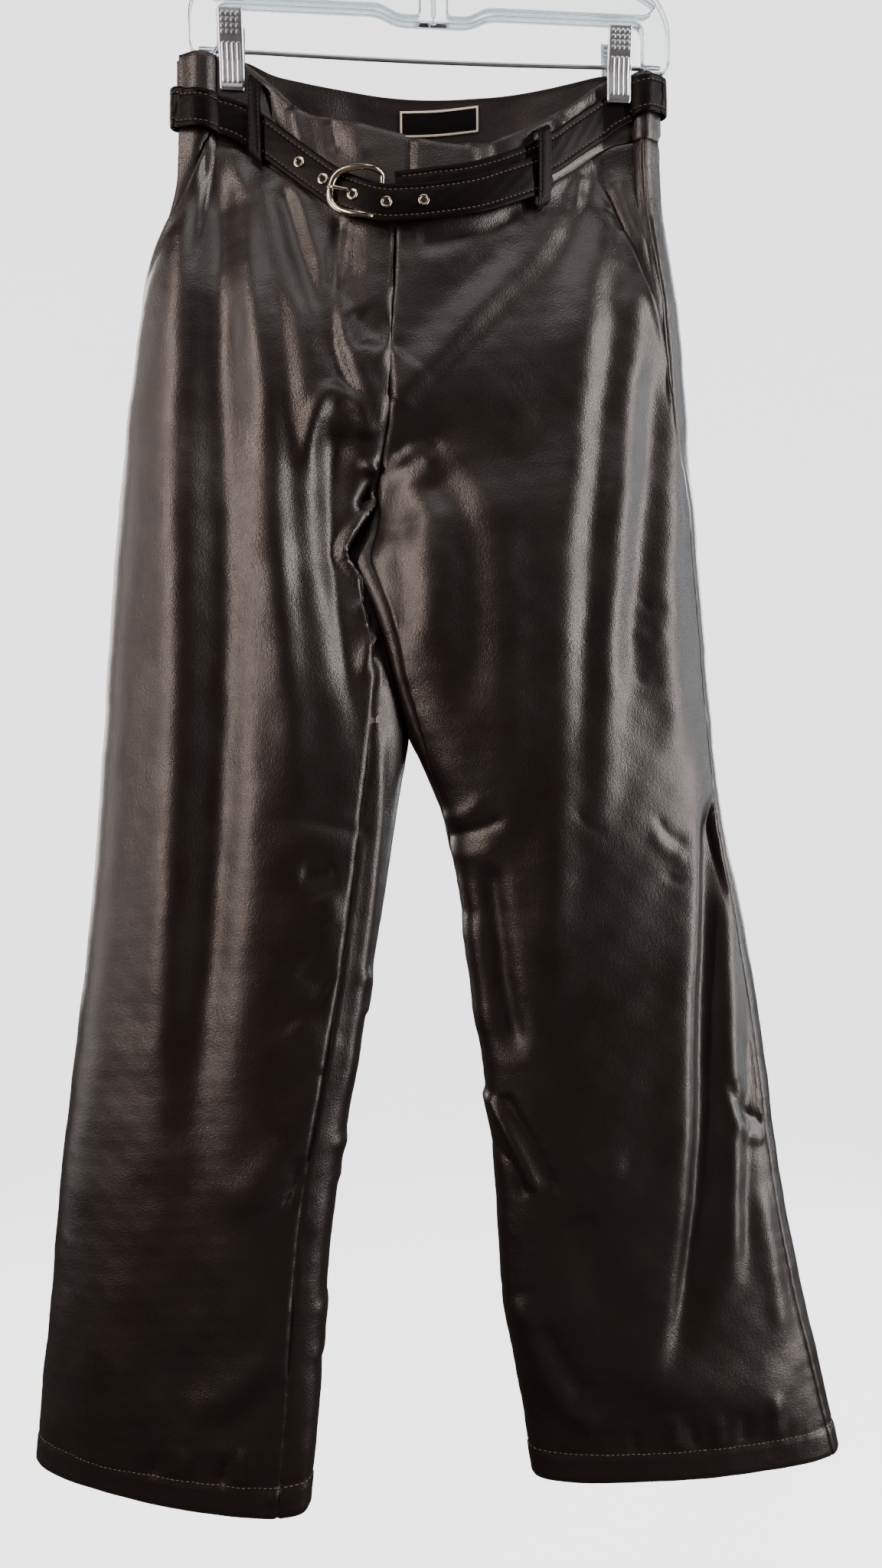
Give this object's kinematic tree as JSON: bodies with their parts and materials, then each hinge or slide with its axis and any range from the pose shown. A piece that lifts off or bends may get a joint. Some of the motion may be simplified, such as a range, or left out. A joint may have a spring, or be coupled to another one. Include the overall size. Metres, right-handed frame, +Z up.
{
  "type": "leather trousers on a clip hanger",
  "caption": "Wide-leg dark brown leather trousers with their own strap belt, hung by the waistband from a clear hanger with sprung metal clips.",
  "frame": {"origin": "inside top of the hanger's hook, where the rail carries it", "axes": "+Z up, -Y towards the viewer of the trousers' front, +X towards the viewer's right, along the hanger's bar"},
  "size_m": [0.6715, 0.1204, 1.2537],
  "materials": {
    "leather": "very dark brown smooth coated leather, fine pebbled grain, soft gloss",
    "leather_belt": "very dark brown coated leather strap, edge stitched",
    "pale_gold": "polished pale gold plate",
    "chrome": "bright plated pressed sheet",
    "steel": "bright round wire",
    "clear_plastic": "clear moulded plastic",
    "label": "woven satin, bare"
  },
  "bodies": {
    "root": {"back_panel_left": "leather", "back_panel_right": "leather", "belt_strap": "leather_belt", "buckle_frame": "pale_gold", "buckle_prong": "pale_gold", "clip_left_back": "chrome", "clip_left_front": "chrome", "clip_left_spring": "steel", "clip_right_back": "chrome", "clip_right_front": "chrome", "clip_right_spring": "steel", "eyelet_1": "pale_gold", "eyelet_2": "pale_gold", "eyelet_3": "pale_gold", "eyelet_4": "pale_gold", "eyelet_5": "pale_gold", "front_panel_left": "leather", "front_panel_right": "leather", "hanger_bar": "steel", "hanger_frame": "clear_plastic", "hanger_hook": "steel", "label": "label", "loop_back_left": "leather", "loop_back_middle": "leather", "loop_back_right": "leather", "loop_front_left": "leather", "loop_front_right": "leather", "pocket_side_left": "leather", "pocket_side_right": "leather", "waistband_back": "leather", "waistband_front_left": "leather", "waistband_front_right": "leather"}
  },
  "joints": []
}
